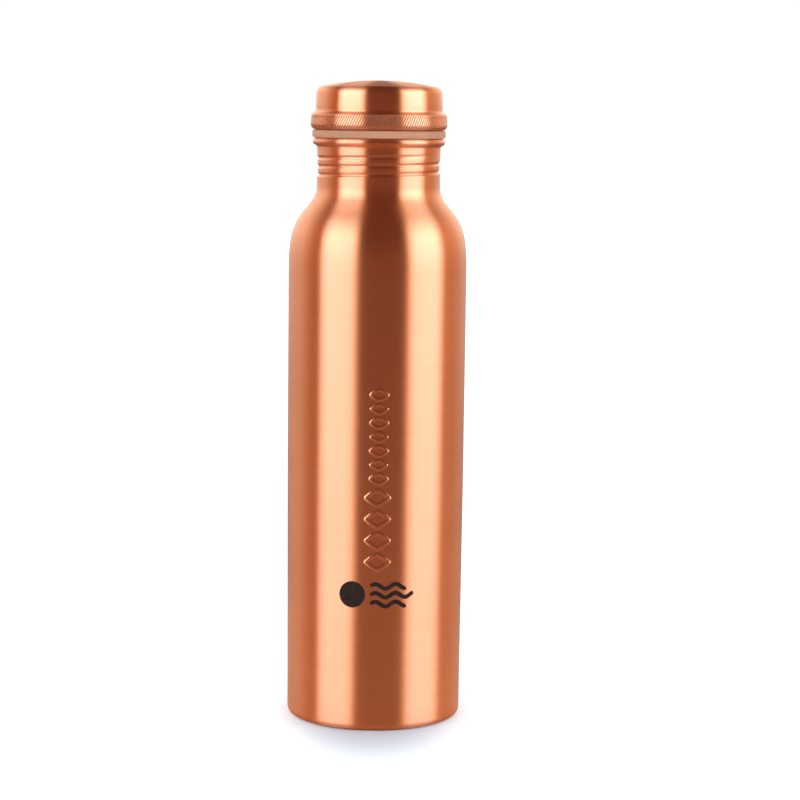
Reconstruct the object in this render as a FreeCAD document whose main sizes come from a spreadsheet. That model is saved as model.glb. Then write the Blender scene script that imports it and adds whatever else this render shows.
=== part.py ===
import FreeCAD, Part
import Sketcher
import math
import os
from FreeCAD import Vector

# A drawn copper water bottle of the one litre class, in millimetres.
# +Z is up, the origin is the middle of the base on the surface it stands on.
#
#   bottle_body       one-piece drawn shell: recessed base, tapered wall, shoulder,
#                     neck with a rolled round thread and a curled mouth bead
#   seal_ring         silicone ring lying on the mouth bead
#   cap_shell         domed copper cup whose rim is rolled under as a grip band
#   cap_thread_plug   hollow threaded cup held inside the cap by its flange

os.makedirs("parts", exist_ok=True)
doc = FreeCAD.newDocument("copper_bottle")

# ---------------------------------------------------------------- sizes
sheet = doc.addObject("Spreadsheet::Sheet", "Sizes")
SIZES = [
    # shell
    ("wall", 0.6, "sheet thickness of the bottle"),
    ("base_radius", 36.52, "outside radius just above the foot corner"),
    ("foot_corner", 3.0, "outside radius of the foot corner"),
    ("foot_ring_inner", 27.5, "inner radius of the flat ring it stands on"),
    ("recess_radius", 25.2, "radius where the recessed base panel starts"),
    ("recess_edge_rise", 1.7, "height of the edge of the recessed panel"),
    ("recess_middle_rise", 3.1, "height of the middle of the recessed panel"),
    ("recess_crown", 227.5, "radius of the dome of the recessed panel"),
    ("waist_radius", 37.08, "outside radius at mid height"),
    ("waist_level", 100.0, "height of the mid height radius"),
    ("body_radius", 37.22, "outside radius under the shoulder"),
    ("shoulder_start", 192.6, "height where the shoulder begins"),
    ("shoulder_upper_radius", 36.18, "outside radius where the shoulder tightens"),
    ("shoulder_upper_level", 203.0, "height where the shoulder tightens"),
    ("cone_start_radius", 31.35, "outside radius at the start of the cone"),
    ("cone_start_level", 212.95, "height of the start of the cone"),
    ("cone_end_radius", 27.55, "outside radius at the end of the cone"),
    ("cone_end_level", 217.55, "height of the end of the cone"),
    ("shoulder_soft_arc", 60.0, "radius of the first, soft shoulder arc"),
    ("shoulder_tight_arc", 21.5, "radius of the second, tight shoulder arc"),
    ("neck_fillet_arc", 8.2, "radius of the fillet into the neck"),
    ("neck_radius", 25.66, "outside radius of the plain lower neck"),
    ("neck_start", 222.7, "height where the plain neck starts"),
    ("neck_step_level", 225.6, "height where the thread zone steps in"),
    ("thread_low_radius", 25.2, "outside radius at the low end of the thread zone"),
    ("thread_low_level", 227.0, "height of the low end of the thread zone"),
    ("neck_top_radius", 25.76, "outside radius under the mouth bead"),
    ("bead_under_level", 240.85, "height of the underside of the mouth bead"),
    ("bead_arc", 1.36, "radius of the curled mouth bead"),
    ("bead_top_radius", 26.05, "radius where the flat top of the bead ends"),
    ("mouth_level", 243.5, "height of the mouth"),
    ("mouth_flat_radius", 25.8, "radius where the flat top of the bead begins"),
    ("mouth_round", 0.6, "rounding of the inner edge of the mouth"),
    # thread, a right-hand round thread rolled through the sheet
    ("thread_pitch", 3.5, "rise of the thread in one turn"),
    ("thread_height", 8.85, "rise of the rolled thread from end to end"),
    ("groove_level", 227.2, "height of the groove's first section"),
    ("groove_floor", 24.88, "radius of the groove's floor"),
    ("groove_round", 0.75, "radius of the groove's section"),
    ("ridge_round", 1.0, "radius of the section of the ridge inside the neck"),
    ("ridge_middle", 25.05, "radius of the middle of that section"),
    # plug
    ("plug_foot_level", 226.6, "height of the underside of the plug"),
    ("plug_corner", 2.0, "outside radius of the plug's foot corner"),
    ("plug_root_radius", 23.72, "outside radius of the plug at its thread root"),
    ("plug_collar_radius", 24.3, "outside radius of the plug inside the seal"),
    ("plug_collar_level", 241.2, "height where the plug widens to its collar"),
    ("plug_wall", 0.6, "sheet thickness of the plug"),
    ("plug_thread_level", 229.0, "height of the plug thread's first section"),
    ("plug_thread_height", 7.7, "rise of the plug's thread from end to end"),
    ("plug_thread_round", 0.85, "radius of the section of the plug's thread"),
    ("plug_thread_middle", 23.53, "radius of the middle of that section"),
    ("flange_radius", 27.55, "outside radius of the plug's flange"),
    ("flange_level", 247.45, "height of the underside of the flange"),
    ("flange_flat_radius", 26.0, "radius where the flange turns up"),
    ("flange_turn_level", 248.9, "height where the turned-up edge becomes upright"),
    ("collar_top", 252.0, "top of the flange's turned-up edge"),
    # seal
    ("seal_inner", 24.6, "inside radius of the seal"),
    ("seal_outer", 27.75, "outside radius of the seal"),
    ("seal_bottom", 243.55, "height of the seal's underside"),
    ("seal_top", 246.8, "height of the seal's top"),
    ("seal_round", 0.9, "rounding of the seal's outer edges"),
    # cap
    ("cap_wall", 0.6, "sheet thickness of the cap"),
    ("cap_top", 267.3, "height of the middle of the dome"),
    ("crown_arc", 116.3, "radius of the dome"),
    ("crown_edge_radius", 23.8146, "radius where the dome meets the corner"),
    ("crown_edge_level", 264.8355, "height where the dome meets the corner"),
    ("cap_corner_arc", 3.0, "outside radius of the cap's corner"),
    ("cap_wall_radius", 26.2, "outside radius at the top of the side wall"),
    ("cap_wall_level", 261.9, "height of the top of the side wall"),
    ("cap_waist_radius", 26.47, "outside radius at the foot of the side wall"),
    ("cap_waist_level", 255.6, "height of the foot of the side wall"),
    ("band_step_radius", 27.3, "radius half way up the band's shoulder"),
    ("band_step_level", 253.8, "height half way up the band's shoulder"),
    ("band_step_arc", 1.3, "radius of both arcs of the band's shoulder"),
    ("band_top_radius", 28.2, "radius at the top of the band"),
    ("band_top_level", 252.1, "height of the top of the band"),
    ("band_radius", 28.46, "largest radius of the band"),
    ("band_roll_level", 249.2, "height where the band rolls under"),
    ("band_roll_arc", 2.3, "radius of the rolled-under edge"),
    ("rim_level", 246.85, "height of the rim's underside"),
    ("rim_outer_radius", 26.2, "radius where the roll meets the rim's underside"),
    ("rim_inner_radius", 25.0, "inner radius of the rolled-under rim"),
]
for row, (alias, value, note) in enumerate(SIZES, start=1):
    sheet.set("A%d" % row, alias)
    sheet.set("B%d" % row, str(value))
    sheet.setAlias("B%d" % row, alias)
    sheet.set("C%d" % row, note)
doc.recompute()


class Size:
    """A number read from the sheet, together with the expression that gives it."""

    def __init__(self, value, text):
        self.value = float(value)
        self.text = text

    def _with(self, other, sign):
        if not isinstance(other, Size):
            other = Size(other, repr(float(other)))
        value = {
            "+": self.value + other.value,
            "-": self.value - other.value,
            "*": self.value * other.value,
        }[sign]
        return Size(value, "(%s %s %s)" % (self.text, sign, other.text))

    def __add__(self, other):
        return self._with(other, "+")

    def __sub__(self, other):
        return self._with(other, "-")

    def __mul__(self, other):
        return self._with(other, "*")


def size(alias):
    return Size(sheet.get(alias), "Sizes." + alias)


ZERO = Size(0, "0")


# ---------------------------------------------------------------- helpers
def origin_plane(body, role):
    for feature in body.Origin.OriginFeatures:
        if feature.Role == role:
            return feature
    raise RuntimeError("no plane " + role)


def new_body(label):
    body = doc.addObject("PartDesign::Body", label)
    body.Label = label
    return body


def new_sketch(body, name, role="XZ_Plane"):
    sketch = body.newObject("Sketcher::SketchObject", name)
    sketch.AttachmentSupport = [(origin_plane(body, role), "")]
    sketch.MapMode = "FlatFace"
    return sketch


def bind(sketch, index, name, expression):
    sketch.renameConstraint(index, name)
    sketch.setExpression(".Constraints." + name, expression)


def outline(sketch, path):
    """A closed loop of lines and arcs.

    path is a list of (x, y, bend). bend is None for a straight run to the next
    point, or (radius, side): side +1 has the arc's middle to the left of the run,
    -1 to the right. (radius, side, "axis") has its middle on the part's axis, and
    its two ends then settle its radius. Every point and every other radius is
    bound to the sheet.
    """
    ends = []
    count = len(path)
    for i, (x, y, bend) in enumerate(path):
        nx, ny, _ = path[(i + 1) % count]
        a = Vector(x.value, y.value, 0)
        b = Vector(nx.value, ny.value, 0)
        if bend is None:
            geo = sketch.addGeometry(Part.LineSegment(a, b), False)
            ends.append((geo, 1, 2))
            continue
        radius, side = bend[:2]
        half = (b - a) * 0.5
        left = Vector(-half.y, half.x, 0)
        left.normalize()
        rise = math.sqrt(max(radius.value**2 - half.Length**2, 0.0))
        middle = a + half + left * (rise * side)
        start, end = (a, b) if side > 0 else (b, a)
        first = math.atan2(start.y - middle.y, start.x - middle.x)
        last = math.atan2(end.y - middle.y, end.x - middle.x)
        circle = Part.Circle(middle, Vector(0, 0, 1), radius.value)
        geo = sketch.addGeometry(Part.ArcOfCircle(circle, first, last), False)
        ends.append((geo, 1, 2) if side > 0 else (geo, 2, 1))
    for i in range(count):
        g1, _, e1 = ends[i]
        g2, s2, _ = ends[(i + 1) % count]
        sketch.addConstraint(Sketcher.Constraint("Coincident", g1, e1, g2, s2))
    for i, (x, y, bend) in enumerate(path):
        geo, at, _ = ends[i]
        if x.value == 0:
            sketch.addConstraint(Sketcher.Constraint("PointOnObject", geo, at, -2))
        else:
            k = sketch.addConstraint(
                Sketcher.Constraint("DistanceX", -1, 1, geo, at, x.value)
            )
            bind(sketch, k, "x%d" % i, x.text)
        if y.value == 0:
            sketch.addConstraint(Sketcher.Constraint("PointOnObject", geo, at, -1))
        else:
            k = sketch.addConstraint(
                Sketcher.Constraint("DistanceY", -1, 1, geo, at, y.value)
            )
            bind(sketch, k, "y%d" % i, y.text)
        if bend is None:
            continue
        if bend[2:]:
            sketch.addConstraint(Sketcher.Constraint("PointOnObject", geo, 3, -2))
            continue
        k = sketch.addConstraint(Sketcher.Constraint("Radius", geo, bend[0].value))
        bind(sketch, k, "arc%d" % i, bend[0].text)


def disc(sketch, x, y, radius):
    """A whole circle with its middle and radius bound to the sheet."""
    middle = Vector(x.value, y.value, 0)
    geo = sketch.addGeometry(
        Part.Circle(middle, Vector(0, 0, 1), radius.value), False
    )
    k = sketch.addConstraint(Sketcher.Constraint("DistanceX", -1, 1, geo, 3, x.value))
    bind(sketch, k, "middle_x", x.text)
    k = sketch.addConstraint(Sketcher.Constraint("DistanceY", -1, 1, geo, 3, y.value))
    bind(sketch, k, "middle_y", y.text)
    k = sketch.addConstraint(Sketcher.Constraint("Radius", geo, radius.value))
    bind(sketch, k, "round", radius.text)


def turned(body, name, sketch, kind="PartDesign::Revolution"):
    feature = body.newObject(kind, name)
    feature.Profile = sketch
    feature.ReferenceAxis = (sketch, ["V_Axis"])
    feature.Angle = 360.0
    sketch.Visibility = False
    doc.recompute()
    return feature


def threaded(body, name, sketch, kind, height):
    """A right-hand helical sweep of a section round the part's axis."""
    feature = body.newObject(kind, name)
    feature.Profile = sketch
    feature.ReferenceAxis = (sketch, ["V_Axis"])
    feature.Mode = "pitch-height-angle"
    feature.LeftHanded = False
    feature.Refine = False  # joining the helical faces would turn the solid inside out
    feature.setExpression("Pitch", "Sizes.thread_pitch")
    feature.setExpression("Height", height)
    sketch.Visibility = False
    doc.recompute()
    return feature


def volume_step(feature, before, more):
    """A feature that adds or cuts must change the volume the right way."""
    after = feature.Shape.Volume
    change = after - before
    if after <= 0 or (change > 0) != more or abs(change) < 1.0:
        raise RuntimeError("%s changed the volume by %.3f" % (feature.Name, change))
    return after


# ---------------------------------------------------------------- bottle_body
bottle = new_body("bottle_body")
wall = size("wall")

outside = new_sketch(bottle, "bottle_outside")
outline(
    outside,
    [
        (ZERO, size("recess_middle_rise"), (size("recess_crown"), -1, "axis")),
        (size("recess_radius"), size("recess_edge_rise"), None),
        (size("foot_ring_inner"), ZERO, None),
        (size("base_radius") - size("foot_corner"), ZERO, (size("foot_corner"), 1)),
        (size("base_radius"), size("foot_corner"), None),
        (size("waist_radius"), size("waist_level"), None),
        (
            size("body_radius"),
            size("shoulder_start"),
            (size("shoulder_soft_arc"), 1),
        ),
        (
            size("shoulder_upper_radius"),
            size("shoulder_upper_level"),
            (size("shoulder_tight_arc"), 1),
        ),
        (size("cone_start_radius"), size("cone_start_level"), None),
        (size("cone_end_radius"), size("cone_end_level"), (size("neck_fillet_arc"), -1)),
        (size("neck_radius"), size("neck_start"), None),
        (size("neck_radius"), size("neck_step_level"), None),
        (size("thread_low_radius"), size("thread_low_level"), None),
        (size("neck_top_radius"), size("bead_under_level"), (size("bead_arc"), 1)),
        (size("bead_top_radius"), size("mouth_level"), None),
        (ZERO, size("mouth_level"), None),
    ],
)
step = turned(bottle, "bottle_turned", outside)
volume = step.Shape.Volume

inside = new_sketch(bottle, "bottle_inside")
outline(
    inside,
    [
        (ZERO, size("recess_middle_rise") + wall, (size("recess_crown"), -1, "axis")),
        (size("recess_radius"), size("recess_edge_rise") + wall, None),
        (size("foot_ring_inner") + wall * 0.5, wall, None),
        (
            size("base_radius") - size("foot_corner"),
            wall,
            (size("foot_corner") - wall, 1),
        ),
        (size("base_radius") - wall, size("foot_corner"), None),
        (size("waist_radius") - wall, size("waist_level"), None),
        (
            size("body_radius") - wall,
            size("shoulder_start"),
            (size("shoulder_soft_arc") - wall, 1),
        ),
        (
            size("shoulder_upper_radius") - wall * 0.984,
            size("shoulder_upper_level") - wall * 0.177,
            (size("shoulder_tight_arc") - wall, 1),
        ),
        (
            size("cone_start_radius") - wall * 0.77,
            size("cone_start_level") - wall * 0.638,
            None,
        ),
        (
            size("cone_end_radius") - wall * 0.77,
            size("cone_end_level") - wall * 0.638,
            (size("neck_fillet_arc") + wall, -1),
        ),
        (size("neck_radius") - wall, size("neck_start"), None),
        (size("neck_radius") - wall, size("neck_step_level"), None),
        (size("thread_low_radius") - wall, size("thread_low_level"), None),
        (
            size("mouth_flat_radius") - size("mouth_round"),
            size("mouth_level") - size("mouth_round"),
            (size("mouth_round"), -1),
        ),
        (size("mouth_flat_radius"), size("mouth_level"), None),
        (size("mouth_flat_radius"), size("mouth_level") + 1.0, None),
        (ZERO, size("mouth_level") + 1.0, None),
    ],
)
step = turned(bottle, "bottle_hollow", inside, "PartDesign::Groove")
volume = volume_step(step, volume, False)

# the round thread: a ridge inside the neck and the groove that made it outside
ridge = new_sketch(bottle, "ridge_section", "YZ_Plane")
outline(
    ridge,
    [
        (
            size("ridge_middle") - size("ridge_round") * 0.1,
            size("groove_level") + size("ridge_round") * 0.995,
            (size("ridge_round"), 1),
        ),
        (
            size("ridge_middle") - size("ridge_round") * 0.1,
            size("groove_level") - size("ridge_round") * 0.995,
            None,
        ),
    ],
)
step = threaded(
    bottle, "neck_ridge", ridge, "PartDesign::AdditiveHelix", "Sizes.thread_height"
)
volume = volume_step(step, volume, True)

groove = new_sketch(bottle, "groove_section", "YZ_Plane")
disc(
    groove,
    size("groove_floor") + size("groove_round"),
    size("groove_level"),
    size("groove_round"),
)
step = threaded(
    bottle,
    "neck_groove",
    groove,
    "PartDesign::SubtractiveHelix",
    "Sizes.thread_height",
)
volume = volume_step(step, volume, False)

# ---------------------------------------------------------------- seal_ring
seal = new_body("seal_ring")
section = new_sketch(seal, "seal_section")
seal_round = size("seal_round")
outline(
    section,
    [
        (size("seal_inner"), size("seal_bottom"), None),
        (size("seal_outer") - seal_round, size("seal_bottom"), (seal_round, 1)),
        (size("seal_outer"), size("seal_bottom") + seal_round, None),
        (size("seal_outer"), size("seal_top") - seal_round, (seal_round, 1)),
        (size("seal_outer") - seal_round, size("seal_top"), None),
        (size("seal_inner"), size("seal_top"), None),
    ],
)
turned(seal, "seal_turned", section)

# ---------------------------------------------------------------- cap_shell
cap = new_body("cap_shell")
sheet_wall = size("cap_wall")
outside = new_sketch(cap, "cap_outside")
outline(
    outside,
    [
        (ZERO, size("rim_level"), None),
        (size("rim_outer_radius"), size("rim_level"), (size("band_roll_arc"), 1)),
        (size("band_radius"), size("band_roll_level"), None),
        (size("band_top_radius"), size("band_top_level"), (size("band_step_arc"), 1)),
        (size("band_step_radius"), size("band_step_level"), (size("band_step_arc"), -1)),
        (size("cap_waist_radius"), size("cap_waist_level"), None),
        (size("cap_wall_radius"), size("cap_wall_level"), (size("cap_corner_arc"), 1)),
        (
            size("crown_edge_radius"),
            size("crown_edge_level"),
            (size("crown_arc"), 1, "axis"),
        ),
        (ZERO, size("cap_top"), None),
    ],
)
step = turned(cap, "cap_turned", outside)
volume = step.Shape.Volume

inside = new_sketch(cap, "cap_inside")
outline(
    inside,
    [
        (ZERO, size("rim_level") - 1.0, None),
        (size("rim_inner_radius"), size("rim_level") - 1.0, None),
        (size("rim_inner_radius"), size("rim_level") + sheet_wall, None),
        (
            size("rim_outer_radius"),
            size("rim_level") + sheet_wall,
            (size("band_roll_arc") - sheet_wall, 1),
        ),
        (size("band_radius") - sheet_wall, size("band_roll_level"), None),
        (
            size("band_top_radius") - sheet_wall,
            size("band_top_level"),
            (size("band_step_arc") - sheet_wall * 0.5, 1),
        ),
        (
            size("band_step_radius") - sheet_wall * 0.77,
            size("band_step_level") - sheet_wall * 0.6,
            (size("band_step_arc") + sheet_wall * 0.5, -1),
        ),
        (size("cap_waist_radius") - sheet_wall, size("cap_waist_level"), None),
        (
            size("cap_wall_radius") - sheet_wall,
            size("cap_wall_level"),
            (size("cap_corner_arc") - sheet_wall, 1),
        ),
        (
            size("crown_edge_radius") - sheet_wall * 0.2,
            size("crown_edge_level") - sheet_wall * 0.979,
            (size("crown_arc") - sheet_wall, 1, "axis"),
        ),
        (ZERO, size("cap_top") - sheet_wall, None),
    ],
)
step = turned(cap, "cap_hollow", inside, "PartDesign::Groove")
volume_step(step, volume, False)

# ---------------------------------------------------------------- cap_thread_plug
plug = new_body("cap_thread_plug")
plug_wall = size("plug_wall")
outside = new_sketch(plug, "plug_outside")
outline(
    outside,
    [
        (ZERO, size("plug_foot_level"), None),
        (
            size("plug_root_radius") - size("plug_corner"),
            size("plug_foot_level"),
            (size("plug_corner"), 1),
        ),
        (
            size("plug_root_radius"),
            size("plug_foot_level") + size("plug_corner"),
            None,
        ),
        (size("plug_root_radius"), size("plug_collar_level") - 0.8, None),
        (size("plug_collar_radius"), size("plug_collar_level"), None),
        (size("plug_collar_radius"), size("flange_level"), None),
        (size("flange_flat_radius"), size("flange_level"), None),
        (size("flange_radius"), size("flange_turn_level"), None),
        (size("flange_radius"), size("collar_top"), None),
        (ZERO, size("collar_top"), None),
    ],
)
step = turned(plug, "plug_turned", outside)
volume = step.Shape.Volume

inside = new_sketch(plug, "plug_inside")
outline(
    inside,
    [
        (ZERO, size("plug_foot_level") + plug_wall, None),
        (
            size("plug_root_radius") - size("plug_corner"),
            size("plug_foot_level") + plug_wall,
            (size("plug_corner") - plug_wall, 1),
        ),
        (
            size("plug_root_radius") - plug_wall,
            size("plug_foot_level") + size("plug_corner"),
            None,
        ),
        (
            size("plug_root_radius") - plug_wall,
            size("plug_collar_level") - 0.4,
            None,
        ),
        (size("plug_collar_radius") - plug_wall, size("plug_collar_level") + 0.4, None),
        (size("plug_collar_radius") - plug_wall, size("flange_level") + plug_wall, None),
        (
            size("flange_flat_radius") - plug_wall * 0.4,
            size("flange_level") + plug_wall,
            None,
        ),
        (
            size("flange_radius") - plug_wall,
            size("flange_turn_level") + plug_wall * 0.5,
            None,
        ),
        (size("flange_radius") - plug_wall, size("collar_top") + 1.0, None),
        (ZERO, size("collar_top") + 1.0, None),
    ],
)
step = turned(plug, "plug_hollow", inside, "PartDesign::Groove")
volume = volume_step(step, volume, False)

screw = new_sketch(plug, "plug_thread_section", "YZ_Plane")
outline(
    screw,
    [
        (
            size("plug_thread_middle") + size("plug_thread_round") * 0.1,
            size("plug_thread_level") - size("plug_thread_round") * 0.995,
            (size("plug_thread_round"), 1),
        ),
        (
            size("plug_thread_middle") + size("plug_thread_round") * 0.1,
            size("plug_thread_level") + size("plug_thread_round") * 0.995,
            None,
        ),
    ],
)
step = threaded(
    plug,
    "plug_thread",
    screw,
    "PartDesign::AdditiveHelix",
    "Sizes.plug_thread_height",
)
volume_step(step, volume, True)

# ---------------------------------------------------------------- check and write
doc.recompute()
for obj in doc.Objects:
    bad = [word for word in obj.State if word in ("Invalid", "Error")]
    if bad:
        raise RuntimeError("%s is %s" % (obj.Name, bad))

NODES = [bottle, seal, cap, plug]
for node in NODES:
    shape = node.Shape
    if shape.isNull() or not shape.isValid() or len(shape.Solids) != 1:
        raise RuntimeError("%s is not one valid solid" % node.Label)
    box = shape.BoundBox
    print(
        "%s: %.1f mm3, x %.2f..%.2f y %.2f..%.2f z %.2f..%.2f"
        % (
            node.Label,
            shape.Volume,
            box.XMin,
            box.XMax,
            box.YMin,
            box.YMax,
            box.ZMin,
            box.ZMax,
        )
    )
for node in NODES:
    node.Shape.exportStep(os.path.join("parts", node.Label + ".step"))
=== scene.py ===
import math

import bpy
import numpy as np
from mathutils import Matrix, Vector


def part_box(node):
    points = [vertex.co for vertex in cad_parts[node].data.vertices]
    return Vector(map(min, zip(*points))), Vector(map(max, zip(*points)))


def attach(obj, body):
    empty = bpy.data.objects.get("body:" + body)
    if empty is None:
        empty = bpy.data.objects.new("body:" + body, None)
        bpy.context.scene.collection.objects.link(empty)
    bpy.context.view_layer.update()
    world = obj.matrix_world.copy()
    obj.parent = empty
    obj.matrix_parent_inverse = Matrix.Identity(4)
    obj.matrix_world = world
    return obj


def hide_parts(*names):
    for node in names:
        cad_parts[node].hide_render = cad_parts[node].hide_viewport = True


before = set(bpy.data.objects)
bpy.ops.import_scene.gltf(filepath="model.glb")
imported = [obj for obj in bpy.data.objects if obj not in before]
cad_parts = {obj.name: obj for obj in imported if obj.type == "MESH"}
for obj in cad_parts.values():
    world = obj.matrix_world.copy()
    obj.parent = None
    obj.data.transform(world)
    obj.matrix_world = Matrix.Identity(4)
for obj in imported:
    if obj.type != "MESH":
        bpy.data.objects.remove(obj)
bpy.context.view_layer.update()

MM = 0.001
TAU = 2 * math.pi

# The CAD boxes give every level that the visible pieces are hung from, in mm.
body_lo, body_hi = (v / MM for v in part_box("bottle_body"))
seal_lo, seal_hi = (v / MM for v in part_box("seal_ring"))
cap_lo, cap_hi = (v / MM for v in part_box("cap_shell"))
plug_lo, plug_hi = (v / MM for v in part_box("cap_thread_plug"))
MOUTH = body_hi.z
BODY_R = body_hi.x
SEAL_LOW, SEAL_TOP, SEAL_R = seal_lo.z, seal_hi.z, seal_hi.x
RIM, CROWN, BAND_R = cap_lo.z, cap_hi.z, cap_hi.x
PLUG_FOOT = plug_lo.z
PITCH = 3.5


# ------------------------------------------------------------------ outlines
def arc(p, q, radius, side, steps=24):
    """Points of the arc from p to q, without p. side +1 has its middle to the left of the run."""
    p, q = np.array(p, float), np.array(q, float)
    half = (q - p) / 2
    left = np.array([-half[1], half[0]]) / np.linalg.norm(half)
    rise = math.sqrt(max(radius**2 - half @ half, 0.0))
    mid = p + half + left * rise * side
    a0 = math.atan2(*(p - mid)[::-1])
    a1 = math.atan2(*(q - mid)[::-1])
    if side > 0 and a1 < a0:
        a1 += TAU
    if side < 0 and a1 > a0:
        a1 -= TAU
    t = np.linspace(a0, a1, steps + 1)[1:]
    return [tuple(mid + radius * np.array([math.cos(x), math.sin(x)])) for x in t]


def path(*parts):
    """One run of points from points and lists of points."""
    out = []
    for part in parts:
        out.extend(part if isinstance(part, list) else [part])
    return np.array(out, float)


def dense(points, step=0.05):
    """The same run with points every step."""
    seg = np.linalg.norm(np.diff(points, axis=0), axis=1)
    keep = np.concatenate([[True], seg > 1e-9])
    points = points[keep]
    along = np.concatenate([[0], np.cumsum(np.linalg.norm(np.diff(points, axis=0), axis=1))])
    at = np.linspace(0, along[-1], int(along[-1] / step) + 2)
    return np.stack([np.interp(at, along, points[:, k]) for k in (0, 1)], axis=1)


def soften(points, sigma):
    """A run of even points with its corners rounded. sigma is in mm, a number or one for each point."""
    step = np.linalg.norm(points[1] - points[0])
    out = points.copy()
    sigma = np.broadcast_to(np.asarray(sigma, float), (len(points),))
    passes = 40
    # many small diffusion steps; the amount at each point sets how far its corner is rounded
    rate = np.clip((sigma / step) ** 2 / (2.0 * passes) * 1.0, 0, None)
    times = int(max(1, math.ceil(rate.max() / 0.24)))
    for _ in range(passes * times):
        out[1:-1] += (rate[1:-1, None] / times) * (out[2:] - 2 * out[1:-1] + out[:-2])
    return out


def thin_out(points, fine, coarse, turn_deg=4.0):
    """Fewer points: a new one when the run has turned by turn_deg, never closer than fine nor further than coarse."""
    keep = [0]
    d = np.diff(points, axis=0)
    ang = np.unwrap(np.arctan2(d[:, 1], d[:, 0]))
    along = np.concatenate([[0], np.cumsum(np.linalg.norm(d, axis=1))])
    for i in range(1, len(points) - 1):
        gone = along[i] - along[keep[-1]]
        turned = abs(math.degrees(ang[i] - ang[min(keep[-1], len(ang) - 1)]))
        if gone >= coarse or (gone >= fine and turned >= turn_deg):
            keep.append(i)
    keep.append(len(points) - 1)
    return points[keep]


# ------------------------------------------------------------------ meshes
class Shell:
    """A mesh made of rings of points round the Z axis, joined row to row."""

    def __init__(self):
        self.points = []
        self.faces = []
        self.count = 0

    def add(self, points):
        points = np.asarray(points, float).reshape(-1, 3)
        first = self.count
        self.points.append(points)
        self.count += len(points)
        return np.arange(first, self.count)

    def ring(self, radius, level, n, turn=0.0):
        """A ring of n points. radius and level may be one number or one for each point."""
        t = np.arange(n) * TAU / n + turn - math.pi / 2
        r = np.broadcast_to(np.asarray(radius, float), (n,))
        z = np.broadcast_to(np.asarray(level, float), (n,))
        return self.add(np.stack([r * np.cos(t), r * np.sin(t), z], axis=1))

    def join(self, low, high):
        """Faces between two rings. One may have a whole number of times as many points as the other."""
        a, b = len(low), len(high)
        if a == b:
            nxt = np.roll(np.arange(a), -1)
            quads = np.stack([low, low[nxt], high[nxt], high], axis=1)
            self.faces.extend(quads.tolist())
        elif a > b:
            k = a // b
            for i in range(b):
                run = [int(low[(i * k + j) % a]) for j in range(k + 1)]
                self.faces.append(run + [int(high[(i + 1) % b]), int(high[i])])
        else:
            k = b // a
            for i in range(a):
                run = [int(high[(i * k + j) % b]) for j in range(k, -1, -1)]
                self.faces.append([int(low[i]), int(low[(i + 1) % a])] + run)

    def pole(self, ring, level, top):
        """Closes a ring with a fan to a point on the axis."""
        tip = int(self.add([(0, 0, level)])[0])
        n = len(ring)
        for i in range(n):
            a, b = int(ring[i]), int(ring[(i + 1) % n])
            self.faces.append([a, b, tip] if top else [b, a, tip])

    def finish(self, name, body, smooth=True):
        co = np.concatenate(self.points) * MM
        # points that no face uses are left out
        used = np.zeros(len(co), bool)
        for face in self.faces:
            used[face] = True
        self.kept = np.where(used)[0]
        renumber = np.cumsum(used) - 1
        self.faces = [[int(renumber[i]) for i in face] for face in self.faces]
        co = co[used]
        mesh = bpy.data.meshes.new(name)
        mesh.from_pydata(co.tolist(), [], self.faces)
        mesh.validate()
        mesh.update()
        if smooth:
            mesh.polygons.foreach_set("use_smooth", [True] * len(mesh.polygons))
        obj = bpy.data.objects.new(name, mesh)
        bpy.context.scene.collection.objects.link(obj)
        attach(obj, body)
        return obj


def smoothstep(x, a, b):
    t = np.clip((np.asarray(x, float) - a) / (b - a), 0, 1)
    return t * t * (3 - 2 * t)


# ------------------------------------------------------------------ the thread rolled into the neck
THREAD_START = 227.2  # level of the groove's middle where it starts, at the back
THREAD_TURNS = 2.6
START_ANGLE = math.pi / 2


def groove_amount(theta, z, half_width, power=2.0):
    """1 on the groove's middle line, 0 away from it, fading out at both ends."""
    theta = np.asarray(theta, float)
    lap = np.mod(theta - START_ANGLE, TAU) / TAU
    amount = np.zeros(np.broadcast(theta, z).shape)
    for turn in range(-1, 4):
        along = lap + turn
        middle = THREAD_START + PITCH * along
        fade = smoothstep(along, -0.06, 0.12) * (1 - smoothstep(along, THREAD_TURNS - 0.06, THREAD_TURNS + 0.08))
        d = np.abs(z - middle) / half_width
        amount = np.maximum(amount, fade * np.clip(1 - d**power, 0, 1) ** 1.5)
    return amount


# ------------------------------------------------------------------ bottle
NECK_R = 25.66
WALL = 0.6


def bottle_outline():
    run = path(
        (0.02, 3.1),
        arc((0.02, 3.1), (25.2, 1.7), 227.5, -1, 40),
        (27.5, 0.0),
        (33.52, 0.0),
        arc((33.52, 0.0), (36.52, 3.0), 3.0, 1, 24),
        (37.08, 100.0),
        (37.22, 192.6),
        arc((37.22, 192.6), (36.18, 203.0), 60.0, 1, 40),
        arc((36.18, 203.0), (31.35, 212.95), 21.5, 1, 40),
        (27.55, 217.55),
        arc((27.55, 217.55), (NECK_R, 222.7), 8.2, -1, 24),
        (NECK_R, 226.0),
        (25.78, 239.4),
        arc((25.78, 239.4), (26.55, 240.55), 0.95, -1, 12),
        arc((26.55, 240.55), (26.05, MOUTH), 1.52, 1, 30),
        (25.8, MOUTH),
    )
    run = dense(run, 0.05)
    z, r = run[:, 1], run[:, 0]
    sigma = np.full(len(run), 0.05)
    shoulder = smoothstep(z, 170, 190) * (1 - smoothstep(z, 221, 224))
    sigma += 1.6 * shoulder
    sigma += 0.5 * (1 - smoothstep(z, 3, 6)) * smoothstep(r, 20, 24) * (1 - smoothstep(r, 32, 33))
    return soften(run, sigma)


outline = bottle_outline()
wall_low, wall_high = 46.0, 151.0  # the plain part of the wall that carries the raised ornament
N_BODY = 288
N_NECK = 288


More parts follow.
